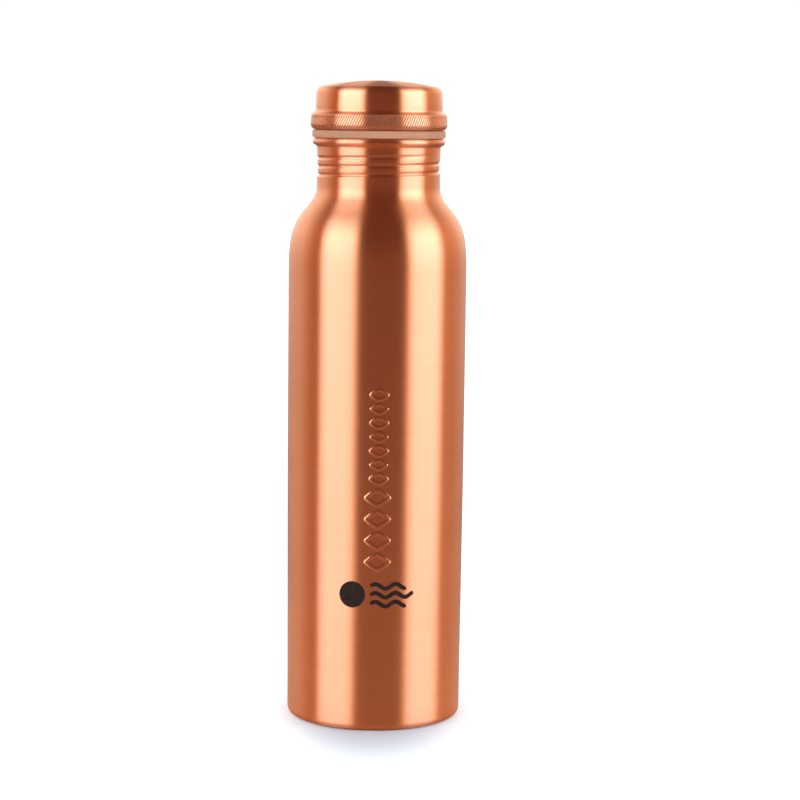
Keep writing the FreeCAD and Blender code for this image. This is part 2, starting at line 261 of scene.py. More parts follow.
def split(run, low, high):
    """The part of a rising run between two levels."""
    i0 = int(np.argmax(run[:, 1] >= low))
    i1 = int(len(run) - np.argmax(run[::-1, 1] <= high))
    return run[i0:i1]


rise_start = int(np.argmin(np.where(outline[:, 0] > 36.0, outline[:, 1], 1e9)))
foot_at = int(np.argmax(outline[:, 0] > 33.0))
under = outline[: foot_at + 1]
upper = outline[foot_at:]
i_low = int(np.argmax(upper[:, 1] >= wall_low))
i_high = int(np.argmax(upper[:, 1] >= wall_high))
i_neck = int(np.argmax(upper[:, 1] >= 224.2))
i_bead = int(np.argmax(upper[:, 1] >= 239.2))
foot = upper[: i_low + 1]
mid = upper[i_low : i_high + 1]
shoulder = upper[i_high : i_neck + 1]
neck = upper[i_neck : i_bead + 1]
bead = upper[i_bead:]

# the raised ornament pressed into the front wall: a plain chain of outlined lozenges and leaves
COARSE = TAU / N_BODY
SUB = 4
HALF_COLS = 9  # coarse columns each side of the front
ROW = 0.34


def ornament_strokes():
    """Polylines in (u, z) mm, u measured round the wall from the front."""
    strokes = []

    def ellipse(u, z, a, b, n=40):
        t = np.linspace(0, TAU, n + 1)
        strokes.append(np.stack([u + a * np.cos(t), z + b * np.sin(t)], axis=1))

    def lozenge(u, z, a, b, bulge=0.16):
        pts = []
        corners = [(a, 0), (0, b), (-a, 0), (0, -b), (a, 0)]
        for (x0, y0), (x1, y1) in zip(corners, corners[1:]):
            for k in range(10):
                s = k / 10
                x, y = x0 + (x1 - x0) * s, y0 + (y1 - y0) * s
                swell = 1 + bulge * math.sin(math.pi * s) ** 2
                pts.append((u + x * swell, z + y * swell))
        pts.append((u + a, z))
        strokes.append(np.array(pts))

    def leaf(u, z, a, b, n=24):
        t = np.linspace(-1, 1, n + 1)
        top = np.stack([u + a * t, z + b * (1 - t**2)], axis=1)
        low = np.stack([u + a * t[::-1], z - b * (1 - t[::-1] ** 2)], axis=1)
        strokes.append(np.concatenate([top, low[1:]]))

    # larger elements in the lower part, smaller ones above
    for k in range(4):
        z = 71.1 + 8.9 * k
        lozenge(1.15 - 0.05 * k, z, 4.7, 3.3, 0.10)
    for k in range(7):
        z = 105.6 + 5.75 * k
        if k % 2:
            lozenge(1.35, z, 3.2, 2.0, 0.06)
        else:
            leaf(1.35, z, 3.45, 1.95)
    return strokes


STROKES = ornament_strokes()


def ornament_height(u, z, height=0.21):
    """Height above the wall at points (u, z), in mm."""
    p = np.stack([u.ravel(), z.ravel()], axis=1)
    best = np.full(len(p), 9.0)
    for s in STROKES:
        lo, hi = s.min(0) - 1.2, s.max(0) + 1.2
        near = np.where((p >= lo).all(1) & (p <= hi).all(1))[0]
        if not len(near):
            continue
        q = p[near]
        a, b = s[:-1], s[1:]
        ab = b - a
        t = ((q[:, None] - a) * ab).sum(2) / (ab**2).sum(1)
        t = np.clip(t, 0, 1)
        d = np.linalg.norm(q[:, None] - (a + t[..., None] * ab), axis=2).min(1)
        best[near] = np.minimum(best[near], d)
    # flat topped, with soft shoulders; a little broader low down
    flat = 0.34 - 0.14 * smoothstep(p[:, 1], 100.0, 104.0)
    x = np.clip((best - flat) / 0.55, 0, 1)
    return (height * (0.5 + 0.5 * np.cos(math.pi * x))).reshape(u.shape)


def build_bottle():
    s = Shell()
    # underside, from the middle out
    low = thin_out(under[1:], 0.4, 3.5, 8)
    rings = [s.ring(r, z, N_BODY) for r, z in low]
    first = rings[0]
    tip = int(s.add([(0, 0, under[0, 1])])[0])
    for i in range(N_BODY):
        s.faces.append([int(first[(i + 1) % N_BODY]), int(first[i]), tip])
    for a, b in zip(rings, rings[1:]):
        s.join(a, b)
    last = rings[-1]
    for r, z in thin_out(foot, 0.25, 6.0, 6)[1:]:
        here = s.ring(r, z, N_BODY)
        s.join(last, here)
        last = here
    # the wall that carries the ornament
    z0, z1 = foot[-1, 1], mid[-1, 1]
    coarse_rows = 17
    per_row = int(round((z1 - z0) / coarse_rows / ROW))
    levels = np.linspace(z0, z1, coarse_rows + 1)
    cols = 2 * HALF_COLS
    c0 = N_BODY - HALF_COLS  # the front is at column 0
    base_rows = []
    for k, z in enumerate(levels):
        r = np.interp(z, mid[:, 1], mid[:, 0])
        if k == 0:
            base_rows.append(last)
        else:
            base_rows.append(s.ring(r, z, N_BODY))
    fine_z = np.linspace(z0, z1, coarse_rows * per_row + 1)
    fine_c = np.arange(cols * SUB + 1) / SUB - HALF_COLS
    zz, cc = np.meshgrid(fine_z, fine_c, indexing="ij")
    rr = np.interp(zz, mid[:, 1], mid[:, 0])
    uu = cc * COARSE * rr
    rr = rr + ornament_height(uu, zz)
    tt = cc * COARSE - math.pi / 2
    grid = s.add(np.stack([rr * np.cos(tt), rr * np.sin(tt), zz], axis=2)).reshape(zz.shape)
    # the patch's edges use the points that are there already
    for k in range(coarse_rows + 1):
        grid[k * per_row, 0] = base_rows[k][c0]
        grid[k * per_row, -1] = base_rows[k][(c0 + cols) % N_BODY]
    for c in range(cols + 1):
        for k, j in ((0, 0), (coarse_rows, -1)):
            grid[j, c * SUB] = base_rows[k][(c0 + c) % N_BODY]
    a, b, c, d = grid[:-1, :-1], grid[:-1, 1:], grid[1:, 1:], grid[1:, :-1]
    s.faces.extend(np.stack([a, b, c, d], axis=2).reshape(-1, 4).tolist())
    for k in range(coarse_rows):
        for i in range(N_BODY):
            inside = (i - c0) % N_BODY < cols
            if inside:
                continue
            p, q = base_rows[k], base_rows[k + 1]
            j = (i + 1) % N_BODY
            if i == (c0 - 1) % N_BODY:
                edge = [int(x) for x in grid[k * per_row : (k + 1) * per_row + 1, 0]]
                s.faces.append([int(p[i])] + edge + [int(q[i])])
            elif i == (c0 + cols) % N_BODY:
                edge = [int(x) for x in grid[k * per_row : (k + 1) * per_row + 1, -1]][::-1]
                s.faces.append([int(p[j]), int(q[j])] + edge)
            else:
                s.faces.append([int(p[i]), int(p[j]), int(q[j]), int(q[i])])
    # bottom and top edges of the patch: the rows below and above take the extra points
    patch_low = grid[0]
    fixed = []
    for face in s.faces:
        fixed.append(face)
    s.faces = fixed
    low_row = base_rows[0]
    wanted = {}
    for c in range(cols):
        i = (c0 + c) % N_BODY
        pair = (int(low_row[i]), int(low_row[(i + 1) % N_BODY]))
        wanted[pair] = [int(x) for x in patch_low[c * SUB + 1 : (c + 1) * SUB]]
    for n, face in enumerate(s.faces):
        for k in range(len(face)):
            # faces below meet this edge the other way round
            pair = (face[(k + 1) % len(face)], face[k])
            if pair in wanted and len(face) == 4 and face[k] in low_row_set(low_row):
                s.faces[n] = face[: k + 1] + wanted[pair][::-1] + face[k + 1 :]
                break
    last = base_rows[-1]
    first_up = True
    for r, z in thin_out(shoulder, 0.7, 4.0, 2.2)[1:]:
        here = s.ring(r, z, N_BODY)
        if first_up:
            for i in range(N_BODY):
                j = (i + 1) % N_BODY
                c = (i - c0) % N_BODY
                face = [int(last[i])]
                if c < cols:
                    face += [int(x) for x in grid[-1][c * SUB + 1 : (c + 1) * SUB]]
                face += [int(last[j]), int(here[j]), int(here[i])]
                s.faces.append(face)
            first_up = False
        else:
            s.join(last, here)
        last = here
    # neck: rings set close together, with the thread rolled in
    t = np.arange(N_NECK) * TAU / N_NECK - math.pi / 2
    n_rows = int((neck[-1, 1] - neck[0, 1]) / 0.205)
    neck_z = np.linspace(neck[0, 1], neck[-1, 1], n_rows + 1)
    outer_r = np.interp(neck_z, neck[:, 1], neck[:, 0])
    # the rolled part of the neck stands a little inside the plain part; the step follows the first turn
    lap = np.mod(t - START_ANGLE, TAU) / TAU
    step_at = THREAD_START - 0.55 + PITCH * lap * (1 - smoothstep(lap, 0.8, 1.0))
    for r, z in zip(outer_r[1:], neck_z[1:]):
        inset = 0.46 * smoothstep(z - step_at, -0.45, 0.45) * (1 - np.clip((z - 228.0) / 11.4, 0, 1))
        depth = 0.56 - 0.012 * (z - 228.0)
        here = s.ring(r - inset - depth * groove_amount(t, z, 0.95), z, N_NECK)
        s.join(last, here)
        last = here
    for r, z in thin_out(bead, 0.14, 0.6, 8)[1:]:
        here = s.ring(r, z, N_NECK)
        s.join(last, here)
        last = here
    # inside, from the mouth down; the thread shows inside as a soft ridge
    inner_top = path((25.8, MOUTH), arc((25.8, MOUTH), (25.2, MOUTH - 0.6), 0.6, 1, 6))
    for r, z in inner_top[1:]:
        here = s.ring(r, z, N_NECK)
        s.join(last, here)
        last = here
    inner_z = np.concatenate([np.arange(MOUTH - 1.1, 226.2, -0.6), [226.0]])
    n_in = N_NECK
    neck_in_top, neck_in_low = 25.16, 24.64
    for z in inner_z:
        f = smoothstep(z, 226.4, 241.5)
        r = neck_in_low + (neck_in_top - neck_in_low) * f
        ridge = 0.36 * groove_amount(t, z, 1.25)
        here = s.ring(r - ridge, z, n_in)
        s.join(last, here)
        last = here
    # down the inside of the shell
    inner = dense(
        path(
            (NECK_R - WALL, 224.0),
            (NECK_R - WALL, 222.7),
            arc((NECK_R - WALL, 222.7), (27.55 - 0.46, 217.55 - 0.38), 8.8, 1, 16),
            (31.35 - 0.46, 212.95 - 0.38),
            arc((31.35 - 0.46, 212.95 - 0.38), (36.18 - 0.59, 203.0 - 0.1), 20.9, -1, 24),
            arc((36.18 - 0.59, 203.0 - 0.1), (37.22 - WALL, 192.6), 59.4, -1, 24),
            (37.08 - WALL, 100.0),
            (36.52 - WALL, 3.0),
            arc((36.52 - WALL, 3.0), (33.52, WALL), 2.4, -1, 12),
            (27.8, WALL),
            (25.2, 2.3),
            arc((25.2, 2.3), (0.02, 3.7), 227.5, 1, 20),
        ),
        0.1,
    )
    inner = thin_out(soften(inner, 0.3), 1.0, 14.0, 4.5)
    ring = s.ring(inner[0, 0], inner[0, 1], N_BODY)
    s.join(last, ring)
    last = ring
    for r, z in inner[1:-1]:
        here = s.ring(r, z, N_BODY)
        s.join(last, here)
        last = here
    s.pole(last, inner[-1, 1], True)
    return s.finish("bottle_shell", "bottle")


def low_row_set(row, cache={}):
    key = int(row[0])
    if key not in cache:
        cache[key] = set(int(x) for x in row)
    return cache[key]


# ------------------------------------------------------------------ seal
def build_seal():
    s = Shell()
    n = 288
    h, r = SEAL_TOP, SEAL_R
    run = dense(
        path(
            (24.6, SEAL_LOW + 0.3),
            arc((24.6, SEAL_LOW + 0.3), (24.9, SEAL_LOW), 0.3, 1, 6),
            (r - 1.0, SEAL_LOW),
            arc((r - 1.0, SEAL_LOW), (r, SEAL_LOW + 1.0), 1.0, 1, 12),
            (r, h - 0.8),
            arc((r, h - 0.8), (r - 0.8, h), 0.8, 1, 12),
            (24.9, h),
            arc((24.9, h), (24.6, h - 0.3), 0.3, 1, 6),
        ),
        0.05,
    )
    run = thin_out(run, 0.12, 0.8, 8)
    rings = [s.ring(a, z, n) for a, z in run]
    for a, b in zip(rings, rings[1:] + rings[:1]):
        s.join(a, b)
    return s.finish("silicone_seal", "seal")


# ------------------------------------------------------------------ cap
TEETH = 156
PER_TOOTH = 10
LEAN = math.radians(26.0)


def cap_outline():
    run = path(
        (25.0, RIM),
        (26.2, RIM),
        arc((26.2, RIM), (28.46, 249.2), 2.3, 1, 24),
        (28.2, 252.1),
        arc((28.2, 252.1), (27.3, 253.8), 1.3, 1, 12),
        arc((27.3, 253.8), (26.47, 255.6), 1.3, -1, 12),
        (26.2, 261.9),
        arc((26.2, 261.9), (23.8146, 264.8355), 3.0, 1, 16),
    )
    crown = []
    middle = CROWN - 116.3
    for r in np.linspace(23.8146, 0.0, 40)[1:]:
        crown.append((r, middle + math.sqrt(116.3**2 - r * r)))
    return dense(np.concatenate([run, np.array(crown)]), 0.05)


def build_cap():
    s = Shell()
    n = 312
    fine = TEETH * PER_TOOTH
    k = fine // n
    run = cap_outline()
    r, z = run[:, 0], run[:, 1]
    sigma = np.full(len(run), 0.04)
    sigma += 0.28 * smoothstep(z, 252.0, 253.0) * (1 - smoothstep(z, 257.5, 259.0))
    sigma += 0.22 * smoothstep(z, 259.5, 261.0)
    run = soften(run, sigma)
    run[-1] = (0.0, CROWN)
    i_on = int(np.argmax(run[:, 1] >= 247.25))
    i_off = int(np.argmax(run[:, 1] >= 254.3))
    low, band, high = run[: i_on + 1], run[i_on : i_off + 1], run[i_off:]
    turn = lambda z: (z - 250.6) * math.tan(LEAN) / 28.4
    # the inside edge of the rim, and the rolled lip
    first = s.ring(25.0, RIM + 0.6, n, turn(low[0, 1]))
    rim_start = first
    last = first
    for a, b in thin_out(low, 0.25, 1.0, 8):
        here = s.ring(a, b, n, turn(low[0, 1]))
        s.join(last, here)
        last = here
    # the knurled band: leaning teeth, cut with the roll
    rows = thin_out(band, 0.2, 0.34, 5)
    spots = np.array([0.0, 0.06, 0.12, 0.17, 0.22, 0.5, 0.78, 0.83, 0.88, 0.94])
    depths = np.array([1.0, 0.8, 0.25, 0.0, 0.0, 0.0, 0.0, 0.0, 0.25, 0.8])
    # painted shade: how strongly each point across a tooth is darkened in colour, strongest in the groove between
    # teeth, standing in for the shade that falls there
    groove_shade = np.array([1.0, 1.0, 0.9, 0.6, 0.0, 0.0, 0.0, 0.6, 0.9, 1.0])
    angles = (np.arange(TEETH)[:, None] + spots[None, :]).ravel() / TEETH * TAU
    deep = np.tile(depths, TEETH)
    painted_shade_rows = []
    normals = np.gradient(rows, axis=0)
    normals = np.stack([normals[:, 1], -normals[:, 0]], axis=1)
    normals /= np.linalg.norm(normals, axis=1)[:, None]
    for i, (a, b) in enumerate(rows):
        amount = smoothstep(b, 247.5, 248.7) * (1 - smoothstep(b, 252.6, 253.7))
        cut = 0.14 * amount * deep
        bearing = angles + turn(b) - math.pi / 2
        rr = a - cut * normals[i, 0]
        here = s.add(np.stack([rr * np.cos(bearing), rr * np.sin(bearing), b - cut * normals[i, 1]], axis=1))
        painted_shade_rows.append((here, 0.8 * amount * np.tile(groove_shade, TEETH)))
        s.join(last, here)
        last = here
    top_turn = turn(rows[-1, 1])
    for a, b in thin_out(high, 0.25, 2.0, 4)[1:-1]:
        here = s.ring(a, b, n, top_turn)
        s.join(last, here)
        last = here
    s.pole(last, CROWN, True)
    # inside of the shell
    inner = dense(
        path(
            (25.0, RIM + 0.6),
            (26.1, RIM + 0.6),
            arc((26.1, RIM + 0.6), (27.86, 249.2), 1.7, 1, 10),
            (27.6, 252.1),
            (26.75, 253.6),
            (25.87, 255.6),
            (25.6, 261.9),
            arc((25.6, 261.9), (23.55, 264.28), 2.4, 1, 10),
            [(r, CROWN - 116.3 + math.sqrt(115.7**2 - r * r)) for r in np.linspace(22.5, 0.0, 12)],
        ),
        0.1,
    )
    inner = thin_out(inner, 0.4, 3.0, 8)
    # walked from the rim up, so its faces look inwards
    last = rim_start
    for a, b in inner[1:-1]:
        here = s.ring(a, b, n, turn(low[0, 1]))
        s.join(here, last)
        last = here
    tip = int(s.add([(0, 0, CROWN - 0.6)])[0])
    for i in range(n):
        s.faces.append([int(last[(i + 1) % n]), int(last[i]), tip])
    obj = s.finish("domed_cap", "cap")
    # the painted shade of the knurl grooves is kept in the 'groove' attribute, which the cap's material darkens by
    values = np.zeros(s.count)
    for at, amount in painted_shade_rows:
        values[at] = amount
    groove = obj.data.attributes.new("groove", "FLOAT", "POINT")
    groove.data.foreach_set("value", values[s.kept].astype(np.float32))
    return obj


# ------------------------------------------------------------------ plug
def build_plug():
    s = Shell()
    n = 360
    t = np.arange(n) * TAU / n - math.pi / 2
    root, collar = 23.72, 24.3
    foot_run = dense(
        path((0.0, PLUG_FOOT), (root - 2.0, PLUG_FOOT), arc((root - 2.0, PLUG_FOOT), (root, PLUG_FOOT + 2.0), 2.0, 1, 16)),
        0.1,
    )
    foot_run = thin_out(foot_run, 0.3, 3.0, 8)
    rings = [s.ring(a, b, n) for a, b in foot_run[1:]]
    tip = int(s.add([(0, 0, PLUG_FOOT)])[0])
    for i in range(n):
        s.faces.append([int(rings[0][(i + 1) % n]), int(rings[0][i]), tip])
    for a, b in zip(rings, rings[1:]):
        s.join(a, b)
    last = rings[-1]
    for z in np.arange(PLUG_FOOT + 2.0 + 0.2, 240.2, 0.2):
        lap = np.mod(t - START_ANGLE, TAU) / TAU
        bump = np.zeros(n)
        for turns in range(-1, 3):
            along = lap + turns
            middle = 229.0 + PITCH * along
            fade = smoothstep(along, -0.02, 0.12) * (1 - smoothstep(along, 2.08, 2.22))
            bump = np.maximum(bump, fade * np.clip(1 - ((z - middle) / 0.95) ** 2, 0, 1) ** 1.3)
        here = s.ring(root + 0.6 * bump, z, n)
        s.join(last, here)
        last = here
    top = dense(
        path(
            (root, 240.4),
            (collar, 241.2),
            (collar, 247.2),
            arc((collar, 247.2), (collar + 0.25, 247.45), 0.25, -1, 4),
            (26.0, 247.45),
            arc((26.0, 247.45), (27.5, 248.9), 1.5, 1, 8),
            (27.5, 252.0),
            (26.95, 252.0),
            (26.95, 249.0),
            arc((26.95, 249.0), (26.0, 248.05), 0.95, -1, 6),
            (24.6, 248.05),
            (23.7, 247.4),
            (23.7, 241.4),
            (23.12, 240.6),
            (23.12, 229.0),
            arc((23.12, 229.0), (21.7, PLUG_FOOT + 0.6), 1.6, -1, 8),
            (0.0, PLUG_FOOT + 0.6),
        ),
        0.1,
    )
    top = thin_out(top, 0.25, 3.0, 10)
    for a, b in top[:-1]:
        here = s.ring(a, b, n)
        s.join(last, here)
        last = here
    s.pole(last, PLUG_FOOT + 0.6, True)
    return s.finish("threaded_plug", "cap")


# ------------------------------------------------------------------ printed ornament
def build_print():
    """A round spot and three short waves of ink, each a thin closed piece that follows the wall."""
    points, faces = [], []
    deep, ink = -0.03, 0.02

    def place(u, z, lift):
        r = np.interp(z, mid[:, 1], mid[:, 0]) + lift
        t = u / 37.0 - math.pi / 2
        points.append((r * math.cos(t) * MM, r * math.sin(t) * MM, z * MM))
        return len(points) - 1

    # the spot: rings of points, two layers
    n, cu, cz, size = 96, -9.2, 57.4, 5.5
    layers = []
    for lift in (deep, ink):
        rings = []
        for k in range(1, 9):
            rr = size * k / 8
            rings.append([place(cu + rr * math.cos(TAU * i / n), cz + rr * math.sin(TAU * i / n), lift) for i in range(n)])
        layers.append((place(cu, cz, lift), rings))
    for (tip, rings), outward in zip(layers, (False, True)):
        for i in range(n):
            j = (i + 1) % n
            f = (rings[0][i], rings[0][j], tip)
            faces.append(f if outward else f[::-1])
            for p, q in zip(rings, rings[1:]):
                f = (p[i], q[i], q[j], p[j])
                faces.append(f if outward else f[::-1])
    low, high = layers[0][1][-1], layers[1][1][-1]
    for i in range(n):
        j = (i + 1) % n
        faces.append((low[i], low[j], high[j], high[i]))

    rows = [
        # middle level, left end, length
        (61.0, -1.6, 15.2),
        (57.3, -1.6, 18.4),
        (53.6, -1.6, 15.2),
    ]
    swing, wave, thick = 0.95, 8.4, 1.75
    for level, left, length in rows:
        n = 150
        start = len(points)
        for i in range(n + 1):
            f = i / n
            u = left + length * f
            z = level + swing * math.sin(TAU * (u - left) / wave)
            slope = swing * TAU / wave * math.cos(TAU * (u - left) / wave)
            end = min(f, 1 - f) * length
            w = max(thick / 2 * math.sqrt(max(0.0, 1 - max(0.0, 1 - end / (thick / 2)) ** 2)), 0.04)
            nx, nz = -slope / math.hypot(1, slope), 1 / math.hypot(1, slope)
            for side in (-1, 1):
                for lift in (deep, ink):
                    place(u + nx * w * side, z + nz * w * side, lift)
        for i in range(n):
            a = start + i * 4
            b = a + 4
            # corners of a section: low inner, low outer, high inner, high outer
            faces.append((a + 1, b + 1, b + 3, a + 3))
            faces.append((a + 2, b + 2, b, a))
            faces.append((a, b, b + 1, a + 1))
            faces.append((a + 3, b + 3, b + 2, a + 2))
        faces.append((start, start + 1, start + 3, start + 2))
        e = start + n * 4
        faces.append((e + 2, e + 3, e + 1, e))
    mesh = bpy.data.meshes.new("printed_waves")
    mesh.from_pydata(points, [], faces)
    mesh.validate()
    mesh.update()
    obj = bpy.data.objects.new("printed_waves", mesh)
    bpy.context.scene.collection.objects.link(obj)
    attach(obj, "bottle")
    return obj


# ------------------------------------------------------------------ node helper
class Nodes:
    def __init__(self, tree):
        self.tree = tree
        tree.nodes.clear()

    def new(self, kind, **values):
        node = self.tree.nodes.new(kind)
        for key, value in values.items():
            setattr(node, key, value)
        return node

    def link(self, a, b):
        self.tree.links.new(a, b)

    def put(self, socket, value):
        if isinstance(value, bpy.types.NodeSocket):
            self.link(value, socket)
        else:
            socket.default_value = value

    def math(self, op, a, b=None, c=None, clamp=False):
        node = self.new("ShaderNodeMath", operation=op, use_clamp=clamp)
        for i, v in enumerate((a, b, c)):
            if v is not None:
                self.put(node.inputs[i], v)
        return node.outputs[0]

    def step(self, x, a, b):
        """0 below a, 1 above b, smooth between."""
        node = self.new("ShaderNodeMapRange", interpolation_type="SMOOTHSTEP")
        self.put(node.inputs[0], x)
        for i, v in enumerate((a, b, 0.0, 1.0)):
            node.inputs[i + 1].default_value = v
        return node.outputs[0]

    def mix(self, f, a, b):
        node = self.new("ShaderNodeMix", data_type="RGBA")
        self.put(node.inputs[0], f)
        self.put(node.inputs[6], a)
        self.put(node.inputs[7], b)
        return node.outputs[2]

    def noise(self, vector, scale, detail=2.0, rough=0.5, dims="3D"):
        node = self.new("ShaderNodeTexNoise", noise_dimensions=dims)
        self.put(node.inputs["Vector"], vector)
        node.inputs["Scale"].default_value = scale
        node.inputs["Detail"].default_value = detail
        node.inputs["Roughness"].default_value = rough
        return node.outputs[0]

    def combine(self, x, y, z):
        node = self.new("ShaderNodeCombineXYZ")
        for i, v in enumerate((x, y, z)):
            self.put(node.inputs[i], v)
        return node.outputs[0]


def material(name):
    m = bpy.data.materials.new(name)
    m.use_nodes = True
    n = Nodes(m.node_tree)
    out = n.new("ShaderNodeOutputMaterial")
    shader = n.new("ShaderNodeBsdfPrincipled")
    n.link(shader.outputs[0], out.inputs[0])
    return m, n, shader


def copper(name, base, rough, grain=1.0, spread=0.95, grooves=False):
    """Lathe-brushed copper: a fine grain that runs round the axis, slight cloudiness, and a wide glow along the axis;
    with grooves, painted shade darkens the knurl's valleys.
    """
    m, n, shader = material(name)
    coords = n.new("ShaderNodeTexCoord").outputs["Object"]
    xyz = n.new("ShaderNodeSeparateXYZ")
    n.link(coords, xyz.inputs[0])
    x, y, z = xyz.outputs
    radius = n.math("SQRT", n.math("ADD", n.math("MULTIPLY", x, x), n.math("MULTIPLY", y, y)))
    # across the grain it changes fast, along the grain slowly
    slow = n.combine(n.math("MULTIPLY", x, 9.0), n.math("MULTIPLY", y, 9.0), n.math("MULTIPLY", n.math("ADD", z, radius), 2600.0))
    fine = n.noise(slow, 1.0, 3.0, 0.6)
    wide = n.combine(n.math("MULTIPLY", x, 14.0), n.math("MULTIPLY", y, 14.0), n.math("MULTIPLY", n.math("ADD", z, radius), 520.0))
    broad = n.noise(wide, 1.0, 2.0, 0.5)
    cloud = n.noise(coords, 34.0, 3.0, 0.55)
    tone = n.math("ADD", n.math("MULTIPLY", fine, 0.5), n.math("ADD", n.math("MULTIPLY", broad, 0.16), n.math("MULTIPLY", cloud, 0.34)))
    dark = tuple(c * k for c, k in zip(base, (0.96, 0.935, 0.91))) + (1.0,)
    light = tuple(min(1.0, c * k) for c, k in zip(base, (1.03, 1.05, 1.07))) + (1.0,)
    tint = n.mix(n.step(tone, 0.3, 0.7), dark, light)
    if grooves:
        # painted shade: the valleys of the knurl are darkened in colour to stand in for the shade that falls in them
        valley_shade = n.new("ShaderNodeAttribute", attribute_type="GEOMETRY", attribute_name="groove")
        tint = n.mix(valley_shade.outputs["Fac"], tint, (0.17, 0.045, 0.018, 1))
    n.link(tint, shader.inputs["Base Color"])
    shader.inputs["Metallic"].default_value = 1.0
    r = n.new("ShaderNodeMapRange")
    n.link(n.math("ADD", n.math("MULTIPLY", fine, 0.6), n.math("MULTIPLY", cloud, 0.4)), r.inputs[0])
    for i, v in enumerate((0.25, 0.75, rough - 0.035 * grain, rough + 0.045 * grain)):
        r.inputs[i + 1].default_value = v
    n.link(r.outputs[0], shader.inputs["Roughness"])
    shader.inputs["Anisotropic"].default_value = spread
    # the tangent runs round the axis; a quarter turn lays the wide glow along the axis
    shader.inputs["Anisotropic Rotation"].default_value = 0.25
    tangent = n.new("ShaderNodeTangent", direction_type="RADIAL", axis="Z")
    n.link(tangent.outputs[0], shader.inputs["Tangent"])
    bump = n.new("ShaderNodeBump")
    bump.inputs["Strength"].default_value = 0.22 * grain
    bump.inputs["Distance"].default_value = 0.00001
    n.link(n.math("ADD", fine, n.math("MULTIPLY", broad, 0.7)), bump.inputs["Height"])
    n.link(bump.outputs[0], shader.inputs["Normal"])
    return m


def silicone(name):
    m, n, shader = material(name)
    coords = n.new("ShaderNodeTexCoord").outputs["Object"]
    cloud = n.noise(coords, 120.0, 3.0, 0.6)
    dust = n.noise(coords, 900.0, 2.0, 0.6)
    n.link(n.mix(n.step(cloud, 0.3, 0.7), (0.42, 0.2, 0.105, 1), (0.46, 0.225, 0.12, 1)), shader.inputs["Base Color"])
    r = n.new("ShaderNodeMapRange")
    n.link(dust, r.inputs[0])
    for i, v in enumerate((0.2, 0.8, 0.5, 0.62)):
        r.inputs[i + 1].default_value = v
    n.link(r.outputs[0], shader.inputs["Roughness"])
    shader.inputs["Subsurface Weight"].default_value = 0.15
    shader.inputs["Subsurface Scale"].default_value = 0.001
    bump = n.new("ShaderNodeBump")
    bump.inputs["Strength"].default_value = 0.2
    bump.inputs["Distance"].default_value = 0.00002
    n.link(dust, bump.inputs["Height"])
    n.link(bump.outputs[0], shader.inputs["Normal"])
    return m


def ink(name):
    m, n, shader = material(name)
    coords = n.new("ShaderNodeTexCoord").outputs["Object"]
    cloud = n.noise(coords, 600.0, 3.0, 0.6)
    n.link(n.mix(n.step(cloud, 0.35, 0.75), (0.016, 0.0085, 0.0065, 1), (0.03, 0.015, 0.011, 1)), shader.inputs["Base Color"])
    r = n.new("ShaderNodeMapRange")
    n.link(cloud, r.inputs[0])
    for i, v in enumerate((0.2, 0.8, 0.5, 0.62)):
        r.inputs[i + 1].default_value = v
    n.link(r.outputs[0], shader.inputs["Roughness"])
    shader.inputs["Specular IOR Level"].default_value = 0.12
    return m


COPPER = (0.93, 0.42, 0.235)
copper_body = copper("brushed_copper", COPPER, 0.345, 1.0, 1.0)
copper_cap = copper("turned_copper", COPPER, 0.325, 0.8, 1.0, True)
copper_plug = copper("drawn_copper", (0.9, 0.44, 0.27), 0.42, 0.8, 0.8)

bottle = build_bottle()
bottle.data.materials.append(copper_body)
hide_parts("bottle_body")

seal = build_seal()
seal.data.materials.append(silicone("seal_silicone"))
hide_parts("seal_ring")

cap = build_cap()
cap.data.materials.append(copper_cap)
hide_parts("cap_shell")

plug = build_plug()
plug.data.materials.append(copper_plug)
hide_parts("cap_thread_plug")

waves = build_print()
waves.data.materials.append(ink("printing_ink"))

# ------------------------------------------------------------------ floor
mesh = bpy.data.meshes.new("floor")
e = 6.0
mesh.from_pydata([(-e, -e, -0.00006), (e, -e, -0.00006), (e, e, -0.00006), (-e, e, -0.00006)], [], [(0, 1, 2, 3)])
floor = bpy.data.objects.new("floor", mesh)
bpy.context.scene.collection.objects.link(floor)
m = bpy.data.materials.new("pale_floor")
m.use_nodes = True
n = Nodes(m.node_tree)
out = n.new("ShaderNodeOutputMaterial")
pale = n.new("ShaderNodeBsdfDiffuse")
pale.inputs[0].default_value = (0.55, 0.60, 0.66, 1)
# painted shadow: the floor glows a little by itself, and the glow fades to nothing near the bottle's foot, narrower
# at the sides than in front and behind, so the floor shows its bluish diffuse colour darker round the foot than the
# light alone makes it
glow = n.new("ShaderNodeEmission")
glow.inputs[0].default_value = (1.0, 1.0, 1.0, 1)
flat_place = n.new("ShaderNodeVectorMath", operation="MULTIPLY")
n.link(n.new("ShaderNodeTexCoord").outputs["Object"], flat_place.inputs[0])
flat_place.inputs[1].default_value = (2.3, 1.0, 0.0)
painted_shadow_reach = n.new("ShaderNodeVectorMath", operation="LENGTH")
n.link(flat_place.outputs[0], painted_shadow_reach.inputs[0])
n.put(glow.inputs[1], n.math("MULTIPLY", n.step(painted_shadow_reach.outputs["Value"], 0.036, 0.112), 0.56))
paper = n.new("ShaderNodeAddShader")
n.link(pale.outputs[0], paper.inputs[0])
n.link(glow.outputs[0], paper.inputs[1])
